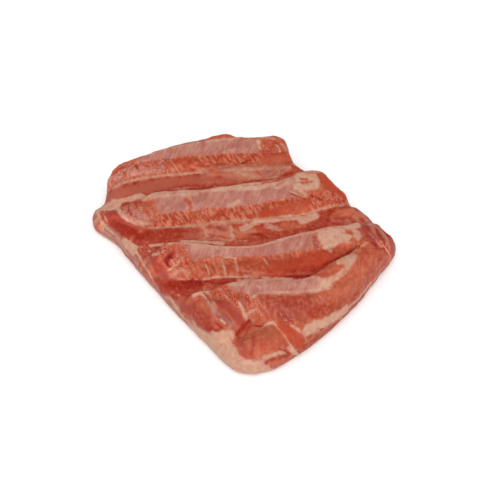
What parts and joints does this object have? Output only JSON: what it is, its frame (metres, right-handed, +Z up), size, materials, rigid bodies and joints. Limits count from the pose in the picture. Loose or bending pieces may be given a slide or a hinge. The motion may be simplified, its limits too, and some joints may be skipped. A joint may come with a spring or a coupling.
{
  "type": "boneless pork belly ribs",
  "caption": "Raw boneless pork belly ribs: a thin slab of belly with long ridges of meat, the hollow rib beds between them, and a flat underside.",
  "frame": {"origin": "middle of the plan box of the slab, on its underside", "axes": "+X along the ridges, +Y from the slab's pointed front to its back, across the ridges, +Z up from the table through the slab"},
  "size_m": [0.1644, 0.1602, 0.0281],
  "materials": {
    "raw_pork": null
  },
  "bodies": {
    "root": {"pork_belly_slab": "raw_pork"}
  },
  "joints": []
}
